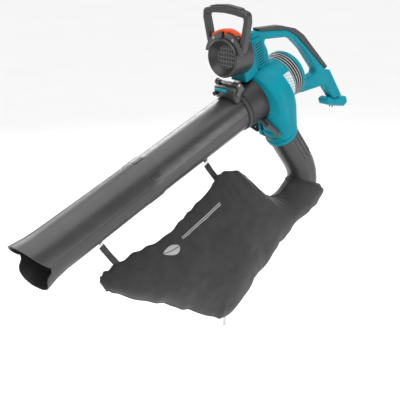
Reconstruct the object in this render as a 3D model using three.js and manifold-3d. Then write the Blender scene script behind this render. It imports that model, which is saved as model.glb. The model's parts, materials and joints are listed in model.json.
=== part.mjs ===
// Hand-held electric leaf vacuum mulcher, set up for suction, with its collection bag hung on.
// Millimetres, +Z up. The machine is held as in use: the suction tube points forward (-X) and down.
// The origin is in the middle of the main handle's top grip.
//
// Everything is laid out in the machine's own frame first: x runs rearward along the suction tube's
// axis from the seam where the tube meets the inlet, y is sideways, z is square to the tube.

import * as THREE from 'three';
import { mergeVertices } from 'three/addons/utils/BufferGeometryUtils.js';
import { RoundedBoxGeometry } from 'three/addons/geometries/RoundedBoxGeometry.js';
import Module from 'manifold-3d';

const wasm = await Module();
wasm.setup();

// ---- driving dimensions ----------------------------------------------------------------------

const PITCH = 19;               // how steeply the tube climbs rearward, degrees
const GAP = 0.3;                // clearance left between touching pieces
const ROUND = 36;               // sides of a large round piece
const GRIP = { x: 205, z: 161 };   // middle of the main grip, in the machine's frame

const TUBE = {
  rear: 60,                     // outer radius at the seam
  joint: 61.2,                  // outer radius where the two tube lengths meet
  front: 62.6,                  // outer radius of the front length behind the mouth
  mouth: 65.5,                  // outer radius at the mouth
  wall: 2.4,
  jointRear: -381,              // rear end of the front length's socket
  jointStop: -425,              // where the rear length ends inside the socket
  mouthX: -800,
};
const SOCKET = 2.4;             // how far the socket band stands out
const SEAL = 3.4;               // thickness of the lip round the rear end of the tube

const COLLAR = { front: 0.6, rear: 62, radius: 66, wall: 5, rearRadius: 69 };

const VOLUTE = { front: 62.4, rear: 150, split: 106, wall: 3.2, round: 22, start: 80, end: 126, sides: 32 };
const OUTLET = { x: 107, y: -56, z: -134, lean: 20, radius: 49, bore: 46.6 };
const DISCHARGE = { radius: 46, wall: 2.4 };

const MOTOR = { front: 150.6, vents: 188, cap: 226, rear: 250, radius: 74, wall: 3 };
const SHAFT_R = 5;
const LOUVRE = 3;

const HUB = { x: -12, z: 174.5, tilt: 17, radius: 57, depth: 78, bowl: 20, grille: 36 };

const HANDLE = { width: 32, grip: 9 };
const BAG_WALL = 2.6;

// ---- colours ---------------------------------------------------------------------------------

function finish(color, roughness, metalness = 0) {
  return { color, roughness, metalness };
}
const TEAL = finish(0x0098ac, 0.42);
const GREY = finish(0x55565a, 0.5);
const DARK = finish(0x2e2f31, 0.55);
const LIGHT_GREY = finish(0x9a9a9d, 0.5);
const SOFT = finish(0x3c3c3f, 0.8);
const ORANGE = finish(0xf0560f, 0.4);
const FABRIC = finish(0x333332, 0.95);
const STEEL = finish(0xb9bcc0, 0.35, 1);
const COPPER = finish(0xb5713c, 0.4, 1);
const LABEL = finish(0xd9dde0, 0.45);

// ---- solids ----------------------------------------------------------------------------------

const rad = THREE.MathUtils.degToRad;

/** Positions and triangles of a closed geometry, with its seams merged and its faces turned out. */
function closedMesh(geometry) {
  const bare = geometry.clone();
  bare.deleteAttribute('normal');
  bare.deleteAttribute('uv');
  const shell = mergeVertices(bare, 1e-3);
  const at = shell.attributes.position.array;
  const index = shell.index.array;
  const triangles = [];
  let volume = 0;
  for (let i = 0; i < index.length; i += 3) {
    const [a, b, c] = [index[i], index[i + 1], index[i + 2]];
    if (a === b || b === c || c === a) continue;
    triangles.push(a, b, c);
    const [A, B, C] = [a, b, c].map((v) => new THREE.Vector3().fromArray(at, 3 * v));
    volume += A.dot(B.cross(C));
  }
  if (volume < 0) triangles.reverse();
  return { vertProperties: new Float32Array(at), triVerts: new Uint32Array(triangles) };
}

function solid(geometry) {
  return new wasm.Manifold(new wasm.Mesh({ numProp: 3, ...closedMesh(geometry) }));
}

function geometryOf(body) {
  const mesh = body.getMesh();
  const geometry = new THREE.BufferGeometry();
  geometry.setAttribute('position', new THREE.Float32BufferAttribute(mesh.vertProperties, 3));
  geometry.setIndex([...mesh.triVerts]);
  geometry.computeVertexNormals();
  return geometry;
}

function cut(body, ...tools) {
  return tools.reduce((left, tool) => left.subtract(tool), body);
}

function join(body, ...others) {
  return others.reduce((sum, other) => sum.add(other), body);
}

/** A solid of revolution about x, from [x, radius] points that close on the axis or on themselves. */
function turned(points, segments = ROUND) {
  const profile = points.map(([x, r]) => new THREE.Vector2(r, x));
  return new THREE.LatheGeometry(profile, segments).rotateZ(-Math.PI / 2);
}

/** A hollow turned piece: outer points from front to rear, then the same points in by the wall. */
function sleeve(outer, wall, segments = ROUND) {
  const inner = outer.map(([x, r]) => [x, r - wall]).reverse();
  return solid(turned([...outer, ...inner, outer[0]], segments));
}

function disc(x0, x1, radius, segments = ROUND) {
  return solid(turned([[x0, 0], [x0, radius], [x1, radius], [x1, 0]], segments));
}

function ring(x0, x1, outer, inner, segments = ROUND) {
  return solid(turned([[x0, inner], [x0, outer], [x1, outer], [x1, inner], [x0, inner]], segments));
}

function box(x0, x1, y0, y1, z0, z1) {
  const geometry = new THREE.BoxGeometry(x1 - x0, y1 - y0, z1 - z0);
  return solid(geometry.translate((x0 + x1) / 2, (y0 + y1) / 2, (z0 + z1) / 2));
}

function softBox(x0, x1, y0, y1, z0, z1, round, segments = 2) {
  const geometry = new RoundedBoxGeometry(x1 - x0, y1 - y0, z1 - z0, segments, round);
  return solid(geometry.translate((x0 + x1) / 2, (y0 + y1) / 2, (z0 + z1) / 2));
}

/** A plate in the x-z plane, from y0 to y1, with its edges bevelled by `bevel`. */
function sidePlate(shape, y0, y1, bevel = 0, steps = 2, curve = 6) {
  const geometry = new THREE.ExtrudeGeometry(shape, {
    depth: y1 - y0 - 2 * bevel,
    bevelEnabled: bevel > 0,
    bevelSize: bevel,
    bevelThickness: bevel,
    bevelOffset: -bevel,
    bevelSegments: steps,
    curveSegments: curve,
  });
  return solid(geometry.rotateX(Math.PI / 2).translate(0, y1 - bevel, 0));
}

/** A plate in the y-z plane, from x0 to x1. The shape's x is y and its y is z. */
function facePlate(shape, x0, x1, bevel = 0, steps = 2, curve = 8) {
  const geometry = new THREE.ExtrudeGeometry(shape, {
    depth: x1 - x0 - 2 * bevel,
    bevelEnabled: bevel > 0,
    bevelSize: bevel,
    bevelThickness: bevel,
    bevelOffset: -bevel,
    bevelSegments: steps,
    curveSegments: curve,
  });
  return solid(geometry.rotateX(Math.PI / 2).rotateZ(Math.PI / 2).translate(x0 + bevel, 0, 0));
}

function outline(points) {
  return new THREE.Shape(points.map(([x, y]) => new THREE.Vector2(x, y)));
}

/** An outline with every corner rounded by an arc of its own radius: points are [x, y, radius]. */
function roundedOutline(points, path = new THREE.Shape()) {
  const count = points.length;
  points.forEach(([x, y, radius = 0], i) => {
    const corner = new THREE.Vector2(x, y);
    const back = new THREE.Vector2(...points[(i + count - 1) % count].slice(0, 2)).sub(corner).normalize();
    const ahead = new THREE.Vector2(...points[(i + 1) % count].slice(0, 2)).sub(corner).normalize();
    const halfAngle = Math.acos(THREE.MathUtils.clamp(back.dot(ahead), -1, 1)) / 2;
    const reach = radius / Math.tan(halfAngle);
    const start = corner.clone().addScaledVector(back, reach);
    const end = corner.clone().addScaledVector(ahead, reach);
    if (i === 0) path.moveTo(start.x, start.y);
    else path.lineTo(start.x, start.y);
    if (radius === 0) return;
    const centre = back.clone().add(ahead).setLength(radius / Math.sin(halfAngle)).add(corner);
    const from = Math.atan2(start.y - centre.y, start.x - centre.x);
    const to = Math.atan2(end.y - centre.y, end.x - centre.x);
    const clockwise = back.cross(ahead) > 0;
    path.absarc(centre.x, centre.y, radius, from, to, clockwise);
  });
  path.closePath();
  return path;
}

/** A straight round bar between two points. */
function bar(from, to, radius, segments = 16) {
  const start = new THREE.Vector3(...from);
  const run = new THREE.Vector3(...to).sub(start);
  const geometry = new THREE.CylinderGeometry(radius, radius, run.length(), segments);
  geometry.translate(0, run.length() / 2, 0);
  geometry.applyQuaternion(
    new THREE.Quaternion().setFromUnitVectors(new THREE.Vector3(0, 1, 0), run.clone().normalize()),
  );
  return solid(geometry.translate(...from));
}

// ---- the assembly tree -----------------------------------------------------------------------

const model = new THREE.Group();
const machine = new THREE.Group();
machine.rotation.y = -rad(PITCH);
const gripX = GRIP.x * Math.cos(rad(PITCH)) - GRIP.z * Math.sin(rad(PITCH));
const gripZ = GRIP.x * Math.sin(rad(PITCH)) + GRIP.z * Math.cos(rad(PITCH));
machine.position.set(-gripX, 0, -gripZ);
model.add(machine);

const hub = new THREE.Group();
hub.position.set(HUB.x, 0, HUB.z);
hub.rotation.y = rad(HUB.tilt);
machine.add(hub);

function add(group, name, body, look) {
  const mesh = new THREE.Mesh(geometryOf(body), new THREE.MeshStandardMaterial(look));
  mesh.name = name;
  group.add(mesh);
  return mesh;
}

/** A solid laid out in the hub's frame, as the machine's frame has it. */
function fromHub(body) {
  return body.rotate([0, HUB.tilt, 0]).translate([HUB.x, 0, HUB.z]);
}

/** The room the hub takes, in the machine's frame. */
function hubRoom() {
  return fromHub(disc(-2, HUB.depth + GAP, HUB.radius + GAP));
}

// ---- suction tube ----------------------------------------------------------------------------

/** How far the mouth's edge reaches past its plane at an angle round the tube, 90 degrees on top. */
function mouthReach(angle) {
  const up = Math.sin(angle);
  const hood = 42 * Math.max(0, up) ** 0.8;
  const lip = 22 * THREE.MathUtils.smoothstep(-up, 0.1, 0.45);
  return hood + lip;
}

/** How far the mouth's edge flares outward at an angle round the tube. */
function mouthFlare(angle) {
  const up = Math.sin(angle);
  const side = Math.abs(Math.cos(angle));
  const hood = 9 * Math.max(0, up);
  const lip = 13 * THREE.MathUtils.smoothstep(-up, 0.35, 0.75) * (0.35 + 0.65 * side);
  return hood + lip;
}

function suctionTubeFront() {
  const bandRadius = TUBE.joint + GAP + SOCKET;
  const inside = TUBE.joint + GAP;
  const stopRadius = TUBE.front - TUBE.wall;
  const mouthStart = TUBE.mouthX + 55;
  const profile = [
    [TUBE.jointRear, bandRadius], [TUBE.jointStop - 4, bandRadius], [TUBE.jointStop - 8, TUBE.front],
    [mouthStart, TUBE.mouth - 0.4],
    [TUBE.mouthX + 28, TUBE.mouth], [TUBE.mouthX, TUBE.mouth],
    [TUBE.mouthX, TUBE.mouth - TUBE.wall], [TUBE.mouthX + 28, TUBE.mouth - TUBE.wall],
    [mouthStart, TUBE.mouth - TUBE.wall - 0.4],
    [TUBE.jointStop - 1, stopRadius], [TUBE.jointStop - 1, inside], [TUBE.jointRear, inside],
    [TUBE.jointRear, bandRadius],
  ];
  const geometry = turned(profile);
  const at = geometry.attributes.position;
  for (let i = 0; i < at.count; i += 1) {
    const angle = Math.atan2(at.getZ(i), at.getY(i));
    const reach = THREE.MathUtils.clamp((mouthStart - at.getX(i)) / (mouthStart - TUBE.mouthX), 0, 1);
    const flare = 1 + (mouthFlare(angle) * reach ** 2) / TUBE.mouth;
    at.setXYZ(i, at.getX(i) - mouthReach(angle) * reach, at.getY(i) * flare, at.getZ(i) * flare);
  }
  return cut(solid(geometry), ...snapWindows(0));
}

const SNAP = { length: 34, width: 15, angles: [90, 155, 25] };

/** The blocks that cut the snap windows, or with `inset` the buttons that fill them. */
function snapWindows(inset) {
  const middle = (TUBE.jointRear + TUBE.jointStop) / 2;
  const half = SNAP.length / 2 - inset;
  const wide = SNAP.width / 2 - inset;
  return SNAP.angles.map((angle) => {
    const block = new THREE.BoxGeometry(2 * half, 2 * wide, 12);
    block.translate(middle, 0, TUBE.joint + 6);
    return solid(block.rotateX(rad(angle - 90)));
  });
}

function suctionTubeRear() {
  return sleeve([[TUBE.jointStop, TUBE.joint], [TUBE.jointRear, TUBE.joint], [-2, TUBE.rear]], TUBE.wall);
}

function snapButton(block) {
  const shell = ring(TUBE.jointStop - 2, TUBE.jointRear + 2, TUBE.joint + GAP + SOCKET + 1, TUBE.joint + GAP);
  return block.intersect(shell);
}

/** The dark lip round the rear end of the tube, which seals against the inlet. */
function seamSeal() {
  const inner = TUBE.rear + 2 * GAP;
  return ring(-14, COLLAR.front - GAP, inner + SEAL, inner);
}

function strapLug(x) {
  const shape = roundedOutline([[x - 11, -TUBE.rear + 4, 1], [x + 11, -TUBE.rear + 4, 1], [x + 7, -80, 6], [x - 7, -80, 6]]);
  const plate = sidePlate(shape, -3, 3);
  const eye = bar([x, -10, -73], [x, 10, -73], 4.2, 14);
  const tube = disc(TUBE.mouthX, 0, tubeRadius(x) + 2 * GAP);
  return cut(plate, eye, tube);
}

/** Outer radius of the suction tube at x. */
function tubeRadius(x) {
  if (x > TUBE.jointRear) {
    return THREE.MathUtils.mapLinear(x, TUBE.jointRear, 0, TUBE.joint, TUBE.rear);
  }
  return THREE.MathUtils.mapLinear(x, TUBE.jointStop, TUBE.mouthX, TUBE.front, TUBE.mouth);
}

const PIN = { x: -17, z: 98, radius: 3, bore: 3.5, from: -51, to: 41 };
const SLOT = { front: -50, rear: -22, right: -22, left: 24, low: 84, high: 91 };

/** The saddle on top of the tube's end: knuckles for the hinge pin and a slot for the safety tab. */
function hingeSaddle() {
  const block = softBox(-40, -5, -44, 33, 40, 96, 7, 1);
  const slot = box(SLOT.front, SLOT.rear, SLOT.right, SLOT.left, SLOT.low, SLOT.high);
  const trough = box(-30, 0, -30, 22, 91, 110);
  const knuckles = [[-44, -30], [22, 33]].map(([y0, y1]) => bar([PIN.x, y0, PIN.z], [PIN.x, y1, PIN.z], 7, 12));
  const bore = bar([PIN.x, -60, PIN.z], [PIN.x, 60, PIN.z], PIN.bore, 12);
  const tube = disc(-60, 10, TUBE.rear + 2 * GAP + SEAL + GAP);
  return cut(join(block, ...knuckles), slot, trough, bore, tube);
}

const STRAPS = {
  front: { x: -600, ringZ: -78, end: [-580, -4, -158] },
  rear: { x: -170, ringZ: -78, end: [-171, -26, -124] },
};

function strapRing(x) {
  const geometry = new THREE.TorusGeometry(7.5, 1.7, 6, 14).rotateY(Math.PI / 2);
  return solid(geometry.translate(x, 0, -80.5));
}

/** A flat strap from just under its ring down to the top of the bag. */
function strap({ x, end }) {
  const from = new THREE.Vector3(x, 0, -91);
  const to = new THREE.Vector3(...end);
  const run = to.clone().sub(from);
  const geometry = new THREE.BoxGeometry(20, 2.4, run.length());
  geometry.translate(0, 0, -run.length() / 2);
  geometry.applyQuaternion(
    new THREE.Quaternion().setFromUnitVectors(new THREE.Vector3(0, 0, -1), run.clone().normalize()),
  );
  return solid(geometry.translate(from.x, from.y, from.z));
}

add(machine, 'suction_tube_front', suctionTubeFront(), GREY);
add(machine, 'suction_tube_rear', suctionTubeRear(), GREY);
snapWindows(0.6).forEach((block, i) => add(machine, `tube_snap_${i + 1}`, snapButton(block), DARK));
add(machine, 'tube_seal', seamSeal(), DARK);
add(machine, 'tube_saddle', hingeSaddle(), GREY);
add(machine, 'safety_tab', box(-47, -22.3, SLOT.right + GAP, SLOT.left - GAP, SLOT.low + GAP, SLOT.high - GAP), TEAL);
add(machine, 'saddle_knob', bar([-52, 24, 76], [-40 - GAP, 24, 76], 6.5, 14), DARK);
add(machine, 'front_strap_lug', strapLug(STRAPS.front.x), DARK);
add(machine, 'rear_strap_lug', strapLug(STRAPS.rear.x), DARK);
add(machine, 'front_strap_ring', strapRing(STRAPS.front.x), STEEL);
add(machine, 'rear_strap_ring', strapRing(STRAPS.rear.x), STEEL);

// ---- inlet collar, tube hinge and catch --------------------------------------------------------

function collarBody() {
  const outer = [[COLLAR.front, COLLAR.radius], [COLLAR.rear - 14, COLLAR.rearRadius], [COLLAR.rear, COLLAR.rearRadius + 5]];
  return sleeve(outer, COLLAR.wall);
}

/** The room the collar takes, without its inside. */
function collarRoom() {
  return ring(-5, COLLAR.rear + GAP, COLLAR.rearRadius + 5 + GAP, COLLAR.radius - 20);
}

const LATCH = { y: -58, z: -68, front: 50, rear: 58, pin: 2.2 };

/** The collar with the eye plate below it and the lug that carries the latch. */
function inletCollar() {
  const shape = roundedOutline([[16, -52, 0], [56, -52, 0], [57, -82, 5], [55, -112, 5], [38, -90, 10], [22, -70, 4]]);
  const plate = sidePlate(shape, -14, -8);
  const root = 0.76;
  const lug = wasm.Manifold.hull([1, root].map((reach) => {
    return bar([40, reach * LATCH.y, reach * LATCH.z], [LATCH.front - 0.6, reach * LATCH.y, reach * LATCH.z], 6, 12);
  }));
  const bore = disc(-5, COLLAR.rear + 5, COLLAR.radius - COLLAR.wall);
  const hole = bar([47, -40, -85], [47, 20, -85], 4.5, 12);
  const pinHole = bar([42, LATCH.y, LATCH.z], [52, LATCH.y, LATCH.z], LATCH.pin + GAP, 12);
  return cut(join(collarBody(), plate, lug), bore, hole, pinHole);
}

/** An arm that carries one end of the hinge pin, cut to clear the collar and the hub. */
function hingeArm(shape, y0, y1) {
  const plate = sidePlate(shape, y0, y1, 1, 1, 3);
  const bore = bar([PIN.x, -60, PIN.z], [PIN.x, 60, PIN.z], PIN.bore, 12);
  return cut(plate, bore, collarRoom(), hubRoom());
}

/** The far arm, which reaches over the seam onto the collar. */
function leftArm() {
  const shape = roundedOutline([
    [-27, 99, 6], [-13, 108, 6], [2, 92, 4], [34, 68, 2], [24, 50, 2], [-2, 64, 4], [-18, 84, 4],
  ]);
  return hingeArm(shape, 34, 40);
}

/** The near arm: a short bell crank that lies against the saddle. */
function rightArm() {
  const shape = roundedOutline([
    [-27, 99, 6], [-13, 107, 6], [-4, 92, 4], [2, 76, 3], [-12, 72, 4], [-30, 62, 3], [-34, 76, 3], [-22, 86, 4],
  ]);
  return hingeArm(shape, -50.4, -44.4);
}

/** The return spring round the pin, closed up coil on coil. */
function hingeSpring() {
  const coils = 7;
  const [from, to] = [-24, 12];
  const pitch = (to - from) / coils;
  const crests = [];
  for (let i = 0; i < coils; i += 1) {
    crests.push([from + i * pitch, 4.6], [from + (i + 0.5) * pitch, 6.4]);
  }
  const profile = [...crests, [to, 4.6], [to, PIN.bore], [from, PIN.bore], crests[0]];
  return solid(turned(profile, 10)).rotate([0, 0, 90]).translate([PIN.x, 0, PIN.z]);
}

/** The long tapered thumb tongue that frees the tube. It pivots on a pin in the collar's boss. */
function releaseLatch() {
  const shape = roundedOutline([[-36, -50, 4], [-54, -52, 4], [-99, -97, 4], [-88, -110, 4], [-44, -70, 6]]);
  const plate = facePlate(shape, LATCH.front, LATCH.rear, 1, 1, 3);
  const swing = disc(0, 100, COLLAR.rearRadius + 7);
  const eye = bar([0, LATCH.y, LATCH.z], [100, LATCH.y, LATCH.z], LATCH.pin + GAP, 12);
  return cut(plate, swing, eye);
}

add(machine, 'inlet_collar', inletCollar(), DARK);
add(machine, 'hinge_arm_left', leftArm(), LIGHT_GREY);
add(machine, 'hinge_arm_right', rightArm(), LIGHT_GREY);
add(machine, 'hinge_pin', bar([PIN.x, PIN.from, PIN.z], [PIN.x, PIN.to, PIN.z], PIN.radius, 12), STEEL);
add(machine, 'hinge_spring', hingeSpring(), STEEL);
add(machine, 'release_latch', releaseLatch(), LIGHT_GREY);
add(machine, 'latch_pin', bar([43, LATCH.y, LATCH.z], [LATCH.rear + 0.6, LATCH.y, LATCH.z], LATCH.pin, 12), STEEL);

// ---- fan casing ------------------------------------------------------------------------------

/** The casing's radius at an angle in the y-z plane: it grows round to the outlet side. */
function voluteRadius(angle, grow = 0) {
  const turn = (((angle + Math.PI / 2) / (2 * Math.PI)) % 1 + 1) % 1;
  const span = VOLUTE.end - VOLUTE.start;
  const widest = 0.85;
  const climb = Math.min(1, turn / widest) ** 4;
  const fall = THREE.MathUtils.smoothstep(turn, widest, 1);
  return VOLUTE.start + span * climb * (1 - fall) + grow;
}

function voluteShape(grow) {
  const points = [];
  for (let i = 0; i < VOLUTE.sides; i += 1) {
    const angle = (i / VOLUTE.sides) * 2 * Math.PI;
    const radius = voluteRadius(angle, grow);
    points.push([radius * Math.cos(angle), radius * Math.sin(angle)]);
  }
  return outline(points);
}

function outletDirection() {
  return new THREE.Vector3(Math.sin(rad(OUTLET.lean)), 0, -Math.cos(rad(OUTLET.lean)));
}

/** A point on the outlet's axis, `along` millimetres past its rim. */
function onOutlet(along) {
  const point = new THREE.Vector3(OUTLET.x, OUTLET.y, OUTLET.z).addScaledVector(outletDirection(), along);
  return point.toArray();
}

/** The casing's round body and, flowing out of its near side, the outlet. */
function voluteBody(grow, outletRadius, reach) {
  const drum = facePlate(voluteShape(grow), VOLUTE.front - grow, VOLUTE.rear + grow, VOLUTE.round + grow, 2);
  const cheek = drum.intersect(box(0, FAR, -FAR, -24, -64, -12));
  const end = bar(onOutlet(-12), onOutlet(reach), outletRadius, 24);
  return join(drum, wasm.Manifold.hull([cheek, end]));
}

/** The keeper below the casing that the tube's catch closes on. */
function keeper() {
  const shape = roundedOutline([[66, -70, 0], [62.6, -92, 4], [66, -124, 6], [84, -143, 6], [104, -122, 6], [104, -70, 0]]);
  return sidePlate(shape, -14, -2);
}

function voluteOuter(grow = 0) {
  const rim = bar(onOutlet(-12 - grow), onOutlet(0), OUTLET.radius + 2 + grow, 24);
  return join(voluteBody(grow, OUTLET.radius + grow, 0), rim);
}

function voluteCavity() {
  const bore = bar(onOutlet(-40), onOutlet(5), OUTLET.bore, 24);
  const inlet = disc(VOLUTE.front - 5, VOLUTE.front + 10, COLLAR.radius - COLLAR.wall);
  const shaftHole = disc(VOLUTE.rear - 10, VOLUTE.rear + 10, 16, 24);
  return join(voluteBody(-VOLUTE.wall, OUTLET.bore, -10), bore, inlet, shaftHole);
}

const FAR = 400;
/** What stands against the casing: the collar in front and the motor behind. */
function casingNeighbours() {
  const collar = disc(0, COLLAR.rear + GAP, COLLAR.rearRadius + 5 + GAP);
  const motor = disc(MOTOR.front - GAP, MOTOR.cap, MOTOR.radius + GAP);
  return [collar, motor];
}

const casing = cut(join(voluteOuter(), keeper()), voluteCavity(), ...casingNeighbours());
add(machine, 'fan_casing_front', casing.intersect(box(-FAR, VOLUTE.split, -FAR, FAR, -FAR, FAR)), TEAL);
add(machine, 'fan_casing_rear', casing.intersect(box(VOLUTE.split + GAP, FAR, -FAR, FAR, -FAR, FAR)), TEAL);

// ---- motor -----------------------------------------------------------------------------------

function motorBarrel() {
  const body = sleeve([[MOTOR.front, MOTOR.radius], [MOTOR.vents, MOTOR.radius]], MOTOR.wall);
  const backWall = ring(MOTOR.front, MOTOR.front + 3, MOTOR.radius - 1, 16);
  return join(body, backWall);
}

/** The louvred band: thin hoops joined by bars behind them. */
function ventBand() {
  const hoops = 4;
  const bars = 6;
  const pitch = (MOTOR.cap - MOTOR.vents) / hoops;
  const pieces = [];
  for (let i = 0; i < hoops; i += 1) {
    const x = MOTOR.vents + pitch * (i + 0.5);
    pieces.push(ring(x - LOUVRE / 2, x + LOUVRE / 2, MOTOR.radius - 1, MOTOR.radius - 8, 26));
  }
  for (let i = 0; i < bars; i += 1) {
    const rib = new THREE.BoxGeometry(pitch * (hoops - 1) + LOUVRE, 4, 3);
    rib.translate((MOTOR.vents + MOTOR.cap) / 2, 0, MOTOR.radius - 6.5);
    pieces.push(solid(rib.rotateX(((i + 0.3) / bars) * 2 * Math.PI)));
  }
  return join(...pieces);
}

/** The dark drum behind the louvres. */
function ventLiner() {
  return ring(MOTOR.vents + GAP, MOTOR.cap - GAP, MOTOR.radius - 8.8, MOTOR.radius - 11, 26);
}

/** The blank plate let in on the near side of the motor. */
function ratingPlate() {
  const skin = ring(156, 185, MOTOR.radius + GAP + 0.8, MOTOR.radius + GAP, 48);
  return skin.intersect(box(150, 190, -100, -50, -34, 42));
}

/** The end cap's outer profile, grown by `grow`. */
function capProfile(grow) {
  const r = MOTOR.radius + grow;
  return [[MOTOR.cap, r], [MOTOR.cap + 12, r - 1], [MOTOR.cap + 20, r - 7], [MOTOR.rear + grow, r - 18]];
}

function motorCap() {
  const outer = capProfile(0);
  const floor = MOTOR.rear - 4;
  const inner = outer.map(([x, radius]) => [Math.min(x, floor), radius - MOTOR.wall]);
  return solid(turned([[floor, 0], ...inner.reverse(), ...outer, [MOTOR.rear, 0]]));
}

function impeller() {
  const back = disc(128, 132, 70);
  const cone = solid(turned([[92, 0], [92, 14], [112, 24], [129, 60], [129, 0]], 24));
  const bore = disc(80, 140, SHAFT_R + GAP, 16);
  const blades = [];
  for (let i = 0; i < 8; i += 1) {
    const blade = new THREE.BoxGeometry(44, 3, 46);
    blade.translate(107, 0, 45);
    blade.rotateX(rad(12));
    blades.push(solid(blade.rotateX((i / 8) * 2 * Math.PI)));
  }
  return cut(join(back, cone, ...blades), bore, disc(60, 90.5, 40, 24));
}

function mulchingBlade() {
  const shape = roundedOutline([[-52, -7, 3], [52, -9, 3], [52, 7, 3], [-52, 9, 3]]);
  return cut(facePlate(shape, 80.5, 84), disc(70, 90, SHAFT_R + GAP, 16));
}

function stator() {
  const bodyRing = ring(160, 204, 46, 31, 32);
  const flats = [box(150, 210, -60, 60, 41, 60), box(150, 210, -60, 60, -60, -41)];
  return cut(bodyRing, ...flats);
}

function armature() {
  const core = disc(162, 202, 28, 24);
  const slots = Array.from({ length: 12 }, (_, i) => {
    const slot = new THREE.BoxGeometry(60, 3, 8).translate(182, 0, 27);
    return solid(slot.rotateX((i / 12) * 2 * Math.PI));
  });
  return cut(core, ...slots, disc(150, 210, SHAFT_R + GAP, 16));
}

add(machine, 'motor_housing', motorBarrel(), TEAL);
add(machine, 'vent_band', ventBand(), LIGHT_GREY);
add(machine, 'vent_liner', ventLiner(), DARK);
add(machine, 'rating_plate', ratingPlate(), LABEL);
add(machine, 'motor_shaft', disc(72, 242, SHAFT_R, 16), STEEL);
add(machine, 'impeller', impeller(), DARK);
add(machine, 'mulching_blade', mulchingBlade(), STEEL);
add(machine, 'blade_nut', cut(disc(74, 80.2, 9, 6), disc(70, 90, SHAFT_R + GAP, 16)), STEEL);
add(machine, 'motor_stator', stator(), STEEL);
add(machine, 'motor_armature', armature(), COPPER);
add(machine, 'commutator', cut(disc(208, 222, 14, 20), disc(200, 230, SHAFT_R + GAP, 16)), COPPER);
add(machine, 'front_bearing', ring(139, 150, 15.5, SHAFT_R + GAP, 20), STEEL);
add(machine, 'rear_bearing', ring(232, 241, 12, SHAFT_R + GAP, 20), STEEL);

// ---- main handle -----------------------------------------------------------------------------

/** The closed loop seen from the side: post, top grip, sloping rear leg, cross arm and stalk. */
function handleOutline() {
  return roundedOutline([
    [112, 200, 10], [266, 131, 40], [302, 94, 40], [404, -74, 3], [426, -88, 7],
    [462, -204, 7], [414, -190, 7], [386, -122, 8], [280, -92, 30], [236, -74, 7],
    [236, -34, 7], [318, -58, 30], [362, -62, 10], [316, 42, 40], [284, 92, 30], [252, 114, 40],
    [156, 154, 8], [166, 112, 20], [160, 60, 7], [92, 60, 7], [92, 162, 10],
  ]);
}

/** The soft cover along the outside of the loop, from the post down to the boss. */
function gripOutline() {
  const over = HANDLE.grip;
  return roundedOutline([
    [148, 184.4 + over, 3], [245, 147 + over, 60], [304, 109 + over, 40], [336, 72 + over, 40],
    [418, -72, 3.5], [405, -73.4, 2], [302.6, 94.4, 40], [266.4, 131.4, 40], [148, 184.4, 2],
  ]);
}

function handleSolid() {
  const half = HANDLE.width / 2;
  return sidePlate(handleOutline(), -half, half, 5, 1, 3);
}

/** The ribbed cheek on each side of the post. */
function postCheeks() {
  const cheek = roundedOutline([[94, 180, 6], [142, 172, 6], [150, 112, 20], [142, 62, 4], [94, 62, 4]]);
  return sidePlate(cheek, -24, 24, 2, 1, 3);
}

/** What the handle must stay clear of: the casing, the motor and the hub's socket. */
function handleClearance() {
  const motor = disc(MOTOR.front - GAP, MOTOR.cap + 1, MOTOR.radius + GAP);
  return [voluteOuter(GAP), motor];
}

function handleHalf(side) {
  const halfSpace = side > 0 ? box(-FAR, 2 * FAR, GAP / 2, FAR, -FAR, FAR) : box(-FAR, 2 * FAR, -FAR, -GAP / 2, -FAR, FAR);
  const whole = cut(join(handleSolid(), postCheeks()), ...handleClearance(), capClearance(), switchWell());
  return whole.intersect(halfSpace);
}

/** The space taken by the motor's end cap, grown by the gap. */
function capClearance() {
  return solid(turned([[MOTOR.cap, 0], ...capProfile(GAP), [MOTOR.rear + GAP, 0]]));
}

const SWITCH = { x: 316, z: 96, tilt: 52, halfLength: 12, halfWidth: 8.4, top: 3, low: -5, pivot: -1 };

/** A block on the bend of the loop, square to its outer edge, between two depths. */
function switchBlock(halfLength, halfWidth, low, high) {
  const body = box(-halfLength, halfLength, -halfWidth, halfWidth, low, high);
  return body.rotate([0, SWITCH.tilt, 0]).translate([SWITCH.x, 0, SWITCH.z]);
}

/** The well under the rocker, open to the outside of the loop. */
function switchWell() {
  return switchBlock(SWITCH.halfLength + 1.4, SWITCH.halfWidth + GAP, -10, 20);
}

function footOutline() {
  return roundedOutline([
    [374, -168, 9], [378, -191, 12], [416, -216, 20], [458, -240, 10], [478, -236, 9],
    [478, -212, 9], [414, -190, 6], [396, -171, 8],
  ]);
}

const INLET = { x: 415, z: -215, tilt: 30, halfLength: 16, halfWidth: 10.5, deep: 12 };

/** A block in the foot's underside, square to it, between two heights. */
function inletBlock(x0, x1, y0, y1, low, high) {
  return box(x0, x1, y0, y1, low, high).rotate([0, INLET.tilt, 0]).translate([INLET.x, 0, INLET.z]);
}

/** The boat-shaped foot with the socket for the extension lead in its underside. */
function cableFoot() {
  const foot = sidePlate(footOutline(), -20, 20, 5, 1, 3);
  const { halfLength, halfWidth, deep } = INLET;
  return cut(foot, inletBlock(-halfLength, halfLength, -halfWidth, halfWidth, -20, deep));
}

/** The dark insert at the bottom of the socket, with its two contact pins. */
function mainsInlet() {
  const { halfLength, halfWidth, deep } = INLET;
  const base = inletBlock(-halfLength + GAP, halfLength - GAP, -halfWidth + GAP, halfWidth - GAP, deep - 5, deep - GAP);
  const pins = [-1, 1].map((side) => {
    const pin = disc(-deep / 2, deep - 4, 2, 10).rotate([0, -90, 0]).translate([0, side * 5, 0]);
    return pin.rotate([0, INLET.tilt, 0]).translate([INLET.x, 0, INLET.z]);
  });
  return join(base, ...pins);
}

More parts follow.
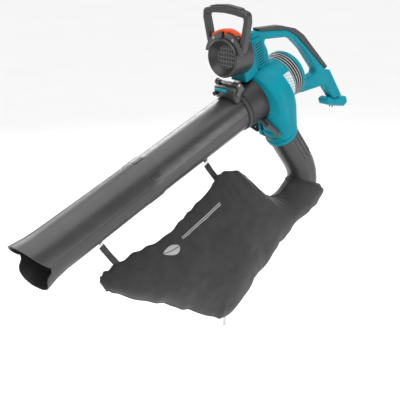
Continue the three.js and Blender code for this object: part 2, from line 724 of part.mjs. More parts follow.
/** The block that carries the hub off the post and the top of the casing. */
function hubCarrier() {
  const shape = roundedOutline([[34, 76, 3], [34, 112, 3], [56, 128, 3], [64, 166, 4], [91.7, 170, 3], [91.7, 76, 3]]);
  return cut(sidePlate(shape, -30, 30, 2, 1, 3), hubRoom(), collarRoom(), voluteOuter(GAP));
}

add(machine, 'motor_end_cap', motorCap(), TEAL);
add(machine, 'handle_left_shell', handleHalf(1), TEAL);
add(machine, 'handle_right_shell', handleHalf(-1), TEAL);
add(machine, 'hub_carrier', hubCarrier(), TEAL);
add(machine, 'soft_grip', cut(sidePlate(gripOutline(), -13, 13, 1.6, 1, 3), switchWell()), SOFT);
add(machine, 'power_switch', switchBlock(SWITCH.halfLength, SWITCH.halfWidth, SWITCH.low, SWITCH.top), DARK);
add(machine, 'cable_foot', cableFoot(), TEAL);
add(machine, 'mains_inlet', mainsInlet(), DARK);

// ---- turning front handle on its hub -----------------------------------------------------------

const LEVER = { inner: 74.6, outer: 81.5, front: 19, rear: 37, y: -50, z: 62, pin: 2 };
const YOKE = { inner: 57.6, outer: 73.8, front: 14, rear: 39, plate: 9 };

function hubDrum() {
  const r = HUB.radius;
  const profile = [
    [0, r - 3], [3, r], [HUB.depth, r - 1], [HUB.depth, 0], [HUB.bowl + 10, 0], [HUB.bowl + 10, HUB.grille - 4],
    [HUB.bowl + 4.4, HUB.grille - 4], [HUB.bowl + 4.4, HUB.grille + 0.4], [HUB.bowl, HUB.grille + 0.4],
    [4, r - 8], [0, r - 6], [0, r - 3],
  ];
  return solid(turned(profile.slice(2, 5).concat(profile.slice(5), profile.slice(1, 3))));
}

/** The round grille: upright slats crossed by a few bars. */
function hubGrille() {
  const plate = disc(HUB.bowl + 0.3, HUB.bowl + 4.1, HUB.grille, 36);
  const [columns, rows] = [6, 4];
  const [pitchY, pitchZ] = [8.6, 13];
  const windows = [];
  for (let i = 0; i < columns; i += 1) {
    for (let j = 0; j < rows; j += 1) {
      const y = (i - (columns - 1) / 2) * pitchY;
      const z = (j - (rows - 1) / 2) * pitchZ;
      if (Math.hypot(Math.abs(y) + 3, Math.abs(z) + 5) > HUB.grille - 1) continue;
      windows.push(box(HUB.bowl - 1, HUB.bowl + 6, y - 3, y + 3, z - 5.4, z + 5.4));
    }
  }
  return cut(plate, ...windows);
}

/** The yoke and U seen along the hub's axis: y across, z up. */
function yokeOutline() {
  return roundedOutline([
    [-63, 14, 8], [-72, 44, 16], [-86, 108, 20], [-84, 134, 14], [-50, 143, 50], [0, 148, 60],
    [50, 143, 50], [84, 134, 14], [86, 108, 20], [72, 44, 16], [63, 14, 8],
  ]);
}

/** The hand opening above the yoke, down to the clamp lever's seat. */
function handOpening() {
  return roundedOutline([
    [-59, 50, 2], [-73, 112, 6], [-71, 121, 3], [-34, 126, 30], [0, 128, 30], [34, 126, 30],
    [71, 121, 3], [73, 112, 6], [59, 50, 2],
  ]);
}

const NOTCH = 8;

/** The yoke with the U on it, and the two ears that hold the lever's pin. */
function uHandle() {
  const [front, rear] = [YOKE.front - 5, YOKE.rear + 5];
  const plate = facePlate(yokeOutline(), YOKE.front, YOKE.rear, 3, 1, 3);
  const opening = cut(facePlate(handOpening(), front, rear), disc(front - 1, rear + 1, YOKE.outer));
  const bore = disc(front, rear, YOKE.inner);
  const notch = box(front, rear, -NOTCH, NOTCH, 40, 100);
  const below = box(front, rear, -YOKE.inner, YOKE.inner, 0, 30);
  const ears = [[YOKE.front, LEVER.front - 0.4], [LEVER.rear + 0.4, YOKE.rear]].map(([x0, x1]) => leverPivot(x0, x1, 8));
  const pin = leverPivot(front, rear, LEVER.pin + GAP);
  return cut(join(cut(plate, opening), ...ears), bore, notch, below, pin);
}

/** The ribbed cover along the top of the U. */
function uGripCover() {
  const [front, rear] = [YOKE.front + 3.5, YOKE.rear - 3.5];
  const ribs = 14;
  const lifted = (rise) => facePlate(yokeOutline(), front - 5, rear + 5, 0, 1, 3).translate([0, 0, rise]);
  const span = box(front, rear, -58, 58, 130, 170);
  const grooves = Array.from({ length: ribs }, (_, i) => {
    const y = (i - (ribs - 1) / 2) * 8;
    return box(front - 1, rear + 1, y - 1, y + 1, 141, 170).intersect(cut(span, lifted(1.6)));
  });
  return cut(cut(lifted(2.6).intersect(span), lifted(GAP)), ...grooves);
}

const SCREW = { y: 37, z: 55 };

/** One of the two pale clamp plates on the front of the yoke, either side of the notch. */
function clampPlate(side) {
  const arc = ring(YOKE.plate, YOKE.front - GAP, YOKE.outer, YOKE.inner);
  const span = box(0, 40, Math.min(side * NOTCH, side * 80), Math.max(side * NOTCH, side * 80), 14, 100);
  const screw = bar([0, side * SCREW.y, SCREW.z], [40, side * SCREW.y, SCREW.z], 2.6, 12);
  return cut(arc.intersect(span), screw);
}

function clampScrew(side) {
  const at = (x) => [x, side * SCREW.y, SCREW.z];
  const head = bar(at(YOKE.plate - 2.4), at(YOKE.plate - GAP), 4.2, 12);
  const shank = bar(at(YOKE.plate - 1), at(YOKE.front - GAP), 2.2, 12);
  return join(head, shank);
}

/** The crescent lever over the yoke, with the tongue that drops into the clamp's notch. */
function clampLever() {
  const band = ring(LEVER.front, LEVER.rear, LEVER.outer, LEVER.inner);
  const span = box(0, 60, LEVER.y, 55, 50, 100);
  const toe = box(0, 60, -60, -42, 40, LEVER.z - 4.5);
  const tongue = box(LEVER.front, LEVER.rear - 8, -NOTCH + 2, NOTCH - 2, 61, LEVER.outer - 3);
  const eye = leverPivot(0, 60, LEVER.pin + GAP);
  return cut(join(band.intersect(span), tongue), toe).add(leverPivot(LEVER.front, LEVER.rear, 5)).subtract(eye);
}

/** A round bar on the lever's axis. */
function leverPivot(x0, x1, radius) {
  return bar([x0, LEVER.y, LEVER.z], [x1, LEVER.y, LEVER.z], radius, 12);
}

add(hub, 'hub_drum', hubDrum(), GREY);
add(hub, 'hub_grille', hubGrille(), DARK);
add(hub, 'u_handle', uHandle(), GREY);
add(hub, 'u_grip_cover', uGripCover(), SOFT);
add(hub, 'clamp_plate_left', clampPlate(1), LIGHT_GREY);
add(hub, 'clamp_plate_right', clampPlate(-1), LIGHT_GREY);
add(hub, 'clamp_screw_left', clampScrew(1), STEEL);
add(hub, 'clamp_screw_right', clampScrew(-1), STEEL);
add(hub, 'clamp_lever', clampLever(), ORANGE);
add(hub, 'lever_pin', leverPivot(YOKE.front + 1, YOKE.rear - 1, LEVER.pin), STEEL);

// ---- discharge tube and bag --------------------------------------------------------------------

/** The middle line of the discharge tube: straight out of the casing, then forward into the bag. */
function dischargeLine() {
  const path = new THREE.CurvePath();
  const start = new THREE.Vector3(...onOutlet(-30));
  const bend = new THREE.Vector3(...onOutlet(115));
  const knee = new THREE.Vector3(...onOutlet(190));
  const end = knee.clone().add(new THREE.Vector3(-0.62, 0, -0.78).multiplyScalar(62));
  path.add(new THREE.LineCurve3(start, bend));
  path.add(new THREE.QuadraticBezierCurve3(bend, knee, end));
  return path;
}

function dischargeTube() {
  const section = new THREE.Shape();
  section.absarc(0, 0, DISCHARGE.radius, 0, Math.PI * 2);
  const bore = new THREE.Path();
  bore.absarc(0, 0, DISCHARGE.radius - DISCHARGE.wall, 0, Math.PI * 2);
  section.holes.push(bore);
  const line = dischargeLine();
  return solid(new THREE.ExtrudeGeometry(section, { steps: 12, curveSegments: 10, extrudePath: line, bevelEnabled: false }));
}

/**
 * The bag from its collar to its front tip. Each station is a rib across the bag: its top and
 * bottom edge, [x, z], how far it lies to the side, and half its width.
 */
const ZIP = [-278, -24, -584];
const BAG = [
  { top: [102, -298], bottom: [210, -394], y: -56, half: 51.5 },
  { top: [86, -305], bottom: [214, -416], y: -55, half: 54.5 },
  { top: [30, -316], bottom: [146, -450], y: -50, half: 60 },
  { top: [-23, -274], bottom: [56, -466], y: -42, half: 68 },
  { top: [-80, -166], bottom: [-56, -510], y: -35, half: 74 },
  { top: [-148, -128], bottom: [-146, -546], y: -30, half: 78 },
  { top: [-196, -148], bottom: [-248, -586], y: -26, half: 76 },
  { top: [-292, -172], bottom: [-318, -558], y: -20, half: 69 },
  { top: [-404, -193], bottom: [-396, -468], y: -14, half: 60 },
  { top: [-520, -172], bottom: [-500, -360], y: -8, half: 48 },
  { top: [-620, -164], bottom: [-612, -246], y: -4, half: 26 },
  { top: [-642, -176], bottom: [-640, -200], y: -3, half: 10 },
];

/** A point on the bag: `s` from 0 at the collar to 1 at the tip, `angle` round the rib. */
function bagPoint(s, angle, inset) {
  const curves = bagPoint.curves ??= {
    top: new THREE.CatmullRomCurve3(BAG.map(({ top, y }) => new THREE.Vector3(top[0], y, top[1]))),
    bottom: new THREE.CatmullRomCurve3(BAG.map(({ bottom, y }) => new THREE.Vector3(bottom[0], y, bottom[1]))),
    half: new THREE.CatmullRomCurve3(BAG.map(({ half }, i) => new THREE.Vector3(i, half, 0))),
  };
  const top = curves.top.getPoint(s);
  const bottom = curves.bottom.getPoint(s);
  const half = curves.half.getPoint(s).y;
  const middle = top.clone().add(bottom).multiplyScalar(0.5);
  const rise = top.clone().sub(middle);
  const height = rise.length();
  rise.multiplyScalar((height - inset) / height);
  return middle.addScaledVector(rise, Math.sin(angle)).add(
    new THREE.Vector3(0, (half - inset) * Math.cos(angle), 0),
  );
}

/** The bag as one thin shell, open at the collar. */
function bagShell() {
  const along = 16;
  const rings = [];
  for (let i = along; i >= 0; i -= 1) rings.push({ s: i / along, inset: 0 });
  for (let i = 0; i <= along - 1; i += 1) rings.push({ s: i / along, inset: BAG_WALL });
  rings.push({ s: 1 - 0.25 / along, inset: BAG_WALL });
  const last = rings.length - 1;
  const profile = rings.map((_, i) => new THREE.Vector2(i === 0 || i === last ? 0 : 1, i));
  profile.unshift(new THREE.Vector2(0, -1));
  rings.unshift(rings[0]);
  profile[1].x = 1;
  const geometry = new THREE.LatheGeometry(profile, 24);
  const at = geometry.attributes.position;
  for (let i = 0; i < at.count; i += 1) {
    const { s, inset } = rings[Math.round(at.getY(i)) + 1];
    const onRib = Math.hypot(at.getX(i), at.getZ(i)) > 0.5;
    const angle = Math.atan2(at.getZ(i), at.getX(i));
    const point = onRib ? bagPoint(s, angle, inset) : bagPoint(s, 0, inset).add(bagPoint(s, Math.PI, inset)).multiplyScalar(0.5);
    at.setXYZ(i, point.x, point.y, point.z);
  }
  return solid(geometry);
}

/** A block beside the straight of the discharge tube, given along it, out from it and across it. */
function besideTube(along, from, to, out, up, across) {
  const block = box(from, to, -across / 2, across / 2, out, up);
  return block.rotate([0, 90 - OUTLET.lean, 0]).translate(onOutlet(along));
}

/** The ladder of short ribs that stiffens the rear side of the discharge tube. */
function dischargeLadder() {
  const [low, high] = [DISCHARGE.radius + GAP, DISCHARGE.radius + 2.6];
  const rails = [-1, 1].map((side) => besideTube(8, 0, 96, low, high, 2.4).translate([0, side * 8, 0]));
  const rungs = Array.from({ length: 9 }, (_, i) => besideTube(8 + i * 11.7, 0, 2.4, low, high, 18));
  return join(...rails, ...rungs);
}

/** The pull of the zip at the bag's lowest point. It hangs plumb, so it leans in the machine's frame. */
function zipPull() {
  const tab = roundedOutline([[-4, 0, 1], [4, 0, 1], [6, -30, 3], [-6, -30, 3]]);
  const eye = bar([0, -5, -4], [0, 5, -4], 1.6, 10);
  return cut(sidePlate(tab, -1, 1, 0, 1, 3), eye).rotate([0, PITCH, 0]).translate(ZIP);
}

add(machine, 'discharge_tube', dischargeTube(), GREY);
add(machine, 'discharge_ladder', dischargeLadder(), GREY);
add(machine, 'collection_bag', bagShell(), FABRIC);
add(machine, 'zip_pull', zipPull(), STEEL);
add(machine, 'front_strap', strap(STRAPS.front), FABRIC);
add(machine, 'rear_strap', strap(STRAPS.rear), FABRIC);

export default model;
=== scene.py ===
"""Looks for the hand-held leaf vacuum mulcher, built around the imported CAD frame."""

import json
import math

import bpy
from mathutils import Matrix, Vector, noise


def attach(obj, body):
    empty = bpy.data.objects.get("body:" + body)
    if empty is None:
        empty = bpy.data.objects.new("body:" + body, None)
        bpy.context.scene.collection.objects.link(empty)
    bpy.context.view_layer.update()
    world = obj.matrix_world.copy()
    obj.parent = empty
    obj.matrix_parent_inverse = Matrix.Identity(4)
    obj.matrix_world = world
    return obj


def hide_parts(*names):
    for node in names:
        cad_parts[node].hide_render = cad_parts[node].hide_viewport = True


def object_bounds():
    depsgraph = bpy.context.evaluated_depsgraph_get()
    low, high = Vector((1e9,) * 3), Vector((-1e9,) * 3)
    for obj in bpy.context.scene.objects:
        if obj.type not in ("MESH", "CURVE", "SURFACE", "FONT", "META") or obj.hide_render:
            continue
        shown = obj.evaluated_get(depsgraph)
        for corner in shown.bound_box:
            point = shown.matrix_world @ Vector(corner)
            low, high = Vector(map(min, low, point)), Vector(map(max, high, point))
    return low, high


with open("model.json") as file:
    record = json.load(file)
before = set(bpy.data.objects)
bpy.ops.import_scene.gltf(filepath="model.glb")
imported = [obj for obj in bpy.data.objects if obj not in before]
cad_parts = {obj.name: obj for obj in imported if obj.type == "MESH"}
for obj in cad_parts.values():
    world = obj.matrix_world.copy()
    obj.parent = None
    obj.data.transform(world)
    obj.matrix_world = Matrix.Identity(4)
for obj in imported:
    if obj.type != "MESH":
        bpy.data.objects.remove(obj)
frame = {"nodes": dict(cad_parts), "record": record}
cad_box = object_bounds()

MM = 0.001

# ---- the machine's own frame, as the CAD lays it out ------------------------------------------

# The machine's x axis is the suction tube's. TOOL takes its points to the frame, whose origin is the grip.
PITCH = math.radians(19)
GRIP = Vector((205, 0, 161)) * MM
TOOL = Matrix.Rotation(-PITCH, 4, "Y") @ Matrix.Translation(-GRIP)

# The front hub has a frame of its own, tilted from the machine's.
HUB_CENTRE = Vector((-12, 0, 174.5)) * MM
HUB_TILT = math.radians(17)
HUB = TOOL @ Matrix.Translation(HUB_CENTRE) @ Matrix.Rotation(HUB_TILT, 4, "Y")

# The discharge tube leaves the casing here and leans away from straight down.
OUTLET = Vector((107, -56, -134))
OUTLET_LEAN = math.radians(20)
OUTLET_RADIUS = 46


# ---- camera, light and floor ---------------------------------------------------------------------

AZIMUTH = math.radians(-45.954)
ELEVATION = math.radians(19.132)
DISTANCE = 3.0
LENS = 91.4
AIM = Vector((-0.281, 0.017, -0.472))
FLOOR_REACH = 60
FLOOR_DROP = 0.35
# Strength of the white world as a source of light, and as the camera sees it.
WORLD_GLOW = 0.42
WORLD_SEEN = 0.95


def toward_camera():
    """The direction from the aim point to the camera."""
    across = math.cos(ELEVATION)
    return Vector((across * math.sin(AZIMUTH), -across * math.cos(AZIMUTH), math.sin(ELEVATION)))


def make_camera():
    data = bpy.data.cameras.new("camera")
    data.sensor_width = 36
    data.lens = LENS
    camera = bpy.data.objects.new("camera", data)
    back = toward_camera()
    camera.rotation_euler = back.to_track_quat("Z", "Y").to_euler()
    camera.location = AIM + DISTANCE * back
    bpy.context.scene.collection.objects.link(camera)
    bpy.context.scene.camera = camera


def area_light(name, where, size, power):
    """A rectangular light at `where` from the aim point, turned towards it."""
    data = bpy.data.lights.new(name, "AREA")
    data.shape = "RECTANGLE"
    data.size, data.size_y = size
    data.energy = power
    light = bpy.data.objects.new(name, data)
    light.location = AIM + Vector(where)
    light.rotation_euler = Vector(where).to_track_quat("Z", "Y").to_euler()
    bpy.context.scene.collection.objects.link(light)


def make_world():
    """A white surround: pale to the camera, dimmer as a source of light so that the greys stay dark."""
    world = bpy.data.worlds.new("studio")
    world.use_nodes = True
    background = world.node_tree.nodes["Background"]
    background.inputs["Color"].default_value = (1, 1, 1, 1)
    seen = world.node_tree.nodes.new("ShaderNodeLightPath")
    strength = world.node_tree.nodes.new("ShaderNodeMapRange")
    strength.inputs["To Min"].default_value = WORLD_GLOW
    strength.inputs["To Max"].default_value = WORLD_SEEN
    world.node_tree.links.new(seen.outputs["Is Camera Ray"], strength.inputs["Value"])
    world.node_tree.links.new(strength.outputs["Result"], background.inputs["Strength"])
    bpy.context.scene.world = world


def make_lights():
    """Four soft panels round the machine and a broad sun straight above it."""
    area_light("left_key", (-2.0, -1.2, 2.2), (0.8, 1.6), 22)
    area_light("tube_strip", (1.6, -2.5, 0.35), (0.45, 2.2), 22)
    area_light("rim_light", (1.2, 2.3, 1.5), (1.6, 1.6), 46)
    area_light("mouth_fill", (-2.6, -0.9, -0.2), (0.6, 0.6), 9)
    sky = bpy.data.lights.new("sky_panel", "SUN")
    sky.energy = 2.1
    sky.angle = math.radians(70)
    overhead = bpy.data.objects.new("sky_panel", sky)
    bpy.context.scene.collection.objects.link(overhead)


def make_floor():
    """A wide pale floor some way below the machine, which is held up by its grip."""
    reach = FLOOR_REACH
    z = cad_box[0][2] - FLOOR_DROP
    corners = [(-reach, -reach, z), (reach, -reach, z), (reach, reach, z), (-reach, reach, z)]
    floor = make_mesh("studio_floor", corners, [(0, 1, 2, 3)])
    floor.data.materials.append(floor_material())


def make_mesh(name, vertices, faces, smooth=False):
    mesh = bpy.data.meshes.new(name)
    mesh.from_pydata([tuple(v) for v in vertices], [], faces)
    mesh.update()
    if smooth:
        mesh.polygons.foreach_set("use_smooth", [True] * len(mesh.polygons))
    thing = bpy.data.objects.new(name, mesh)
    bpy.context.scene.collection.objects.link(thing)
    return thing


# ---- materials -----------------------------------------------------------------------------------


# A wave texture of scale 1 repeats every 2 pi / 20 units.
WAVE_UNIT = 20
# Noise scale and bump height of the fine spark-eroded grain on moulded plastic.
GRAIN_SCALE = 1600
GRAIN_HEIGHT = 0.0002


class Shader:
    """A Principled material and short ways to add nodes to it, in the object's own metres."""

    def __init__(self, name, colour, roughness, metallic=0.0):
        self.material = bpy.data.materials.new(name)
        self.material.use_nodes = True
        self.tree = self.material.node_tree
        self.surface = self.tree.nodes["Principled BSDF"]
        self.colour = colour
        self.set("Base Color", (*colour, 1))
        self.set("Roughness", roughness)
        self.set("Metallic", metallic)
        self.place = self.tree.nodes.new("ShaderNodeTexCoord").outputs["Object"]

    def set(self, socket, value):
        self.surface.inputs[socket].default_value = value

    def link(self, output, socket):
        self.tree.links.new(output, socket)

    def noise(self, scale, detail=3.0, rough=0.55, stretch=None):
        node = self.tree.nodes.new("ShaderNodeTexNoise")
        node.inputs["Scale"].default_value = scale
        node.inputs["Detail"].default_value = detail
        node.inputs["Roughness"].default_value = rough
        self.link(self.stretched(stretch) if stretch else self.place, node.inputs["Vector"])
        return node.outputs["Fac"]

    def stretched(self, scale, turn=(0, 0, 0)):
        node = self.tree.nodes.new("ShaderNodeMapping")
        node.inputs["Scale"].default_value = scale
        node.inputs["Rotation"].default_value = turn
        self.link(self.place, node.inputs["Vector"])
        return node.outputs["Vector"]

    def waves(self, pitch, axis, vector=None):
        """Parallel ridges across an axis, `pitch` metres apart."""
        node = self.tree.nodes.new("ShaderNodeTexWave")
        node.bands_direction = axis
        node.inputs["Scale"].default_value = 2 * math.pi / (WAVE_UNIT * pitch)
        self.link(vector or self.place, node.inputs["Vector"])
        return node.outputs["Fac"]

    def spread(self, value, low, high, start=0.3, end=0.7):
        node = self.tree.nodes.new("ShaderNodeMapRange")
        for socket, number in (("From Min", start), ("From Max", end), ("To Min", low), ("To Max", high)):
            node.inputs[socket].default_value = number
        self.link(value, node.inputs["Value"])
        return node.outputs["Result"]

    def math(self, operation, a, b):
        node = self.tree.nodes.new("ShaderNodeMath")
        node.operation = operation
        for socket, value in zip(node.inputs, (a, b)):
            if isinstance(value, (int, float)):
                socket.default_value = value
            else:
                self.link(value, socket)
        return node.outputs["Value"]

    def mottle(self, amount, scale):
        """Lightens and darkens the colour a little from place to place."""
        mix = self.tree.nodes.new("ShaderNodeMix")
        mix.data_type = "RGBA"
        dark = tuple(c * (1 - amount) for c in self.colour)
        light = tuple(min(1, c * (1 + amount) + 0.02 * amount) for c in self.colour)
        mix.inputs["A"].default_value = (*dark, 1)
        mix.inputs["B"].default_value = (*light, 1)
        self.link(self.spread(self.noise(scale, 5), 0, 1), mix.inputs["Factor"])
        self.link(mix.outputs["Result"], self.surface.inputs["Base Color"])
        return mix

    def mix_in(self, base, colour, factor):
        """Lays another colour over a Mix node's result where factor is high."""
        mix = self.tree.nodes.new("ShaderNodeMix")
        mix.data_type = "RGBA"
        self.link(base.outputs["Result"], mix.inputs["A"])
        mix.inputs["B"].default_value = (*colour, 1)
        self.link(factor, mix.inputs["Factor"])
        self.link(mix.outputs["Result"], self.surface.inputs["Base Color"])
        return mix

    def gloss(self, low, high, scale):
        self.link(self.spread(self.noise(scale, 4), low, high), self.surface.inputs["Roughness"])

    def relief(self, layers, edge=0.0):
        """Bump from (height, strength, distance) layers, on top of edges rounded by `edge` metres."""
        normal = None
        if edge:
            rounded = self.tree.nodes.new("ShaderNodeBevel")
            rounded.samples = 6
            rounded.inputs["Radius"].default_value = edge
            normal = rounded.outputs["Normal"]
        for height, strength, distance in layers:
            bump = self.tree.nodes.new("ShaderNodeBump")
            bump.inputs["Strength"].default_value = strength
            bump.inputs["Distance"].default_value = distance
            self.link(height, bump.inputs["Height"])
            if normal:
                self.link(normal, bump.inputs["Normal"])
            normal = bump.outputs["Normal"]
        self.link(normal, self.surface.inputs["Normal"])


def plastic(name, colour, roughness, grain=0.12, edge=0.0008, scuffs=0.06, shine=0.45):
    """Moulded plastic: fine spark texture, slight mottling, faint scuffs and softened edges."""
    shader = Shader(name, colour, roughness)
    base = shader.mottle(0.07, 14)
    marks = shader.spread(shader.noise(55, 8, 0.75, (1, 1, 5)), 0, scuffs, 0.6, 0.78)
    shader.mix_in(base, tuple(0.5 * c + 0.12 for c in colour), marks)
    shader.gloss(roughness - 0.05, roughness + 0.07, 40)
    shader.set("Specular IOR Level", shine)
    fine = (shader.noise(GRAIN_SCALE, 2), grain, GRAIN_HEIGHT)
    waviness = (shader.noise(35, 2), 0.06, 0.001)
    shader.relief([fine, waviness], edge)
    return shader.material


# Distance from the motor's axis at which the vent's hoops turn from painted shade to pale.
SLAT_EDGE = 0.0702


def slat_plastic(name):
    """The vent's hoops: pale on their outer edge, with painted shade in the slots between them."""
    shader = Shader(name, (0.03, 0.03, 0.03), 0.45)
    base = shader.mottle(0.1, 20)
    turned = shader.stretched((1, 1, 1), (0, PITCH, 0))
    parts = shader.tree.nodes.new("ShaderNodeSeparateXYZ")
    shader.link(turned, parts.inputs["Vector"])
    height = shader.math("ADD", parts.outputs["Z"], GRIP.z)
    sideways = shader.math("POWER", parts.outputs["Y"], 2)
    upright = shader.math("POWER", height, 2)
    radius = shader.math("SQRT", shader.math("ADD", sideways, upright), 0)
    # Inside SLAT_EDGE the hoops keep the dark base colour, painted shade for the slots; outside it they
    # turn pale.
    outer_edge = shader.spread(radius, 0, 1, SLAT_EDGE, SLAT_EDGE + 0.001)
    shader.mix_in(base, (0.40, 0.395, 0.39), outer_edge)
    shader.gloss(0.36, 0.5, 40)
    shader.relief([(shader.noise(GRAIN_SCALE, 2), 0.1, GRAIN_HEIGHT)], 0.0005)
    return shader.material


def metal(name, colour, roughness):
    """Drawn or turned metal with fine lines along X and darker handling marks."""
    shader = Shader(name, colour, roughness, 1.0)
    base = shader.mottle(0.12, 30)
    marks = shader.spread(shader.noise(160, 6, 0.7), 0, 0.5, 0.55, 0.8)
    shader.mix_in(base, tuple(0.45 * c for c in colour), marks)
    shader.gloss(roughness - 0.08, roughness + 0.12, 90)
    lines = shader.noise(900, 2, 0.6, (0.05, 1, 1))
    shader.relief([(lines, 0.15, 0.0002)], 0.0003)
    return shader.material


def soft_touch(name, colour):
    """Rubbery overmoulding: matte, fine pimples, dulled where hands have polished it."""
    shader = Shader(name, colour, 0.62)
    shader.mottle(0.16, 22)
    shader.gloss(0.5, 0.7, 25)
    shader.set("Sheen Weight", 0.15)
    cells = shader.tree.nodes.new("ShaderNodeTexVoronoi")
    cells.inputs["Scale"].default_value = 650
    shader.link(shader.place, cells.inputs["Vector"])
    pimples = (cells.outputs["Distance"], 0.35, 0.0003)
    shader.relief([pimples, (shader.noise(40), 0.08, 0.001)], 0.0012)
    return shader.material


# The weave is turned about Y from the frame's axes by the pitch and this much more.
WEAVE_TURN = math.radians(35)


def woven(name, colour, pitch, sheen):
    """Plain-woven synthetic cloth: crossed threads, slubs, faint dust in the folds."""
    shader = Shader(name, colour, 0.82)
    base = shader.mottle(0.1, 16)
    threads = shader.noise(480, 2, 0.6, (1, 1, 0.12))
    dusty = shader.spread(shader.noise(7, 6, 0.7), 0, 0.02, 0.5, 0.75)
    mixed = shader.mix_in(base, tuple(0.6 * c + 0.11 for c in colour), dusty)
    slubs = shader.spread(threads, 0, 0.35, 0.5, 0.8)
    shader.mix_in(mixed, tuple(1.5 * c + 0.004 for c in colour), slubs)
    shader.set("Sheen Weight", sheen)
    shader.set("Sheen Roughness", 0.4)
    shader.gloss(0.72, 0.9, 30)
    turned = shader.stretched((1, 1, 1), (0, -PITCH - WEAVE_TURN, 0))
    weave = shader.math("MULTIPLY", shader.waves(pitch, "X", turned), shader.waves(pitch, "Z", turned))
    broad = (shader.noise(20, 3), 0.12, 0.003)
    small = (shader.noise(70, 3), 0.08, 0.0012)
    shader.relief([(weave, 0.35, 0.0003), broad, small])
    return shader.material


def webbing(name, colour):
    """Narrow woven strap with ribs across it."""
    shader = Shader(name, colour, 0.8)
    shader.mottle(0.25, 60)
    shader.set("Sheen Weight", 0.3)
    ribs = shader.waves(0.0016, "Z")
    shader.relief([(ribs, 0.6, 0.0005), (shader.noise(700, 2), 0.3, 0.0003)])
    return shader.material


def plate_material(name):
    """A blank silvery plate crossed by thin printed rules, with no lettering."""
    shader = Shader(name, (0.62, 0.66, 0.68), 0.35)
    base = shader.mottle(0.06, 40)
    rules = shader.spread(shader.waves(0.009, "Z"), 0, 0.55, 0.86, 0.9)
    shader.mix_in(base, (0.20, 0.24, 0.26), rules)
    shader.gloss(0.28, 0.42, 50)
    shader.relief([(shader.noise(500, 2), 0.05, 0.0002)], 0.0004)
    return shader.material


def floor_material():
    shader = Shader("floor_finish", (0.86, 0.86, 0.86), 0.8)
    shader.mottle(0.01, 3)
    return shader.material


GREY = (0.030, 0.0292, 0.0298)
TEAL = (0.0, 0.25, 0.325)

MATERIALS = {
    "grey_plastic": lambda: plastic("grey_tube_plastic", GREY, 0.34, grain=0.1, scuffs=0.04, shine=0.6),
    "teal_plastic": lambda: plastic(
        "teal_casing_plastic", TEAL, 0.38, grain=0.08, edge=0.0014, scuffs=0.015, shine=0.12,
    ),
    "dark_plastic": lambda: plastic("dark_fitting_plastic", (0.022, 0.022, 0.023), 0.45),
    "fitting_plastic": lambda: plastic("grey_fitting_plastic", (0.075, 0.074, 0.075), 0.38),
    "orange_plastic": lambda: plastic("orange_lever_plastic", (0.86, 0.085, 0.008), 0.35, edge=0.001),
    "grille_plastic": lambda: plastic("grille_bar_plastic", (0.17, 0.168, 0.17), 0.4),
    # Painted shade: the dark teal of the strips that stand for the post's slots.
    "shadow_teal": lambda: plastic("teal_slot_painted_shade", (0.0, 0.04, 0.055), 0.5, shine=0.1),
    "print_ink": lambda: plastic(
        "bag_print_ink", (0.40, 0.40, 0.405), 0.6, edge=0.0, scuffs=0.2, shine=0.2,
    ),
    "vent_plastic": lambda: slat_plastic("vent_slat_painted_shade"),
    "soft_rubber": lambda: soft_touch("soft_grip_rubber", (0.026, 0.025, 0.026)),
    "bag_fabric": lambda: woven("bag_weave", (0.021, 0.021, 0.0225), 0.0011, sheen=0.2),
    "strap_fabric": lambda: webbing("strap_webbing", (0.03, 0.03, 0.031)),
    "steel": lambda: metal("bright_steel", (0.58, 0.58, 0.59), 0.3),
    "copper": lambda: metal("copper_windings", (0.66, 0.3, 0.14), 0.38),
    "label": lambda: plate_material("blank_plate"),
}

# CAD nodes whose finish isn't the one that their slot names.
FITTINGS = ("clamp_plate_left", "clamp_plate_right", "hinge_arm_left", "hinge_arm_right", "release_latch")
FINISH_OF = {name: "fitting_plastic" for name in FITTINGS}
FINISH_OF["vent_band"] = "vent_plastic"
made = {}


def finish_for(finish):
    """The material of that name, made the first time that it is asked for."""
    if finish not in made:
        made[finish] = MATERIALS[finish]()
    return made[finish]


# ---- CAD nodes: smooth shading and materials -----------------------------------------------------


WELD_DISTANCE = 0.00002
SHARP_ANGLE = math.radians(32)


def smoothing(angle):
    """A modifier group that joins the import's split points and shades smooth below an angle."""
    group = bpy.data.node_groups.new("smooth_below_angle", "GeometryNodeTree")
    for way in ("INPUT", "OUTPUT"):
        group.interface.new_socket("Geometry", in_out=way, socket_type="NodeSocketGeometry")
    nodes, links = group.nodes, group.links
    weld = nodes.new("GeometryNodeMergeByDistance")
    weld.inputs["Distance"].default_value = WELD_DISTANCE
    faces = nodes.new("GeometryNodeSetShadeSmooth")
    edges = nodes.new("GeometryNodeSetShadeSmooth")
    edges.domain = "EDGE"
    edges.inputs["Shade Smooth"].default_value = False
    bend = nodes.new("GeometryNodeInputMeshEdgeAngle")
    sharp = nodes.new("FunctionNodeCompare")
    sharp.operation = "GREATER_THAN"
    sharp.inputs["B"].default_value = angle
    links.new(nodes.new("NodeGroupInput").outputs[0], weld.inputs["Geometry"])
    links.new(weld.outputs["Geometry"], faces.inputs["Geometry"])
    links.new(faces.outputs["Geometry"], edges.inputs["Geometry"])
    links.new(bend.outputs["Unsigned Angle"], sharp.inputs["A"])
    links.new(sharp.outputs["Result"], edges.inputs["Selection"])
    links.new(edges.outputs["Geometry"], nodes.new("NodeGroupOutput").inputs[0])
    return group


def dress_frame():
    """Gives every CAD node its material and smooth shading. The meshes themselves stay as they are."""
    slots = {part["node"]: part["material_slot"] for part in frame["record"]["subparts"]}
    group = smoothing(SHARP_ANGLE)
    for name, node in frame["nodes"].items():
        if "custom_normal" in node.data.attributes:
            node.data.attributes.remove(node.data.attributes["custom_normal"])
        node.data.materials.clear()
        node.data.materials.append(finish_for(FINISH_OF.get(name, slots[name])))
        node.modifiers.new("smooth", "NODES").node_group = group


# ---- pieces of mesh ------------------------------------------------------------------------------


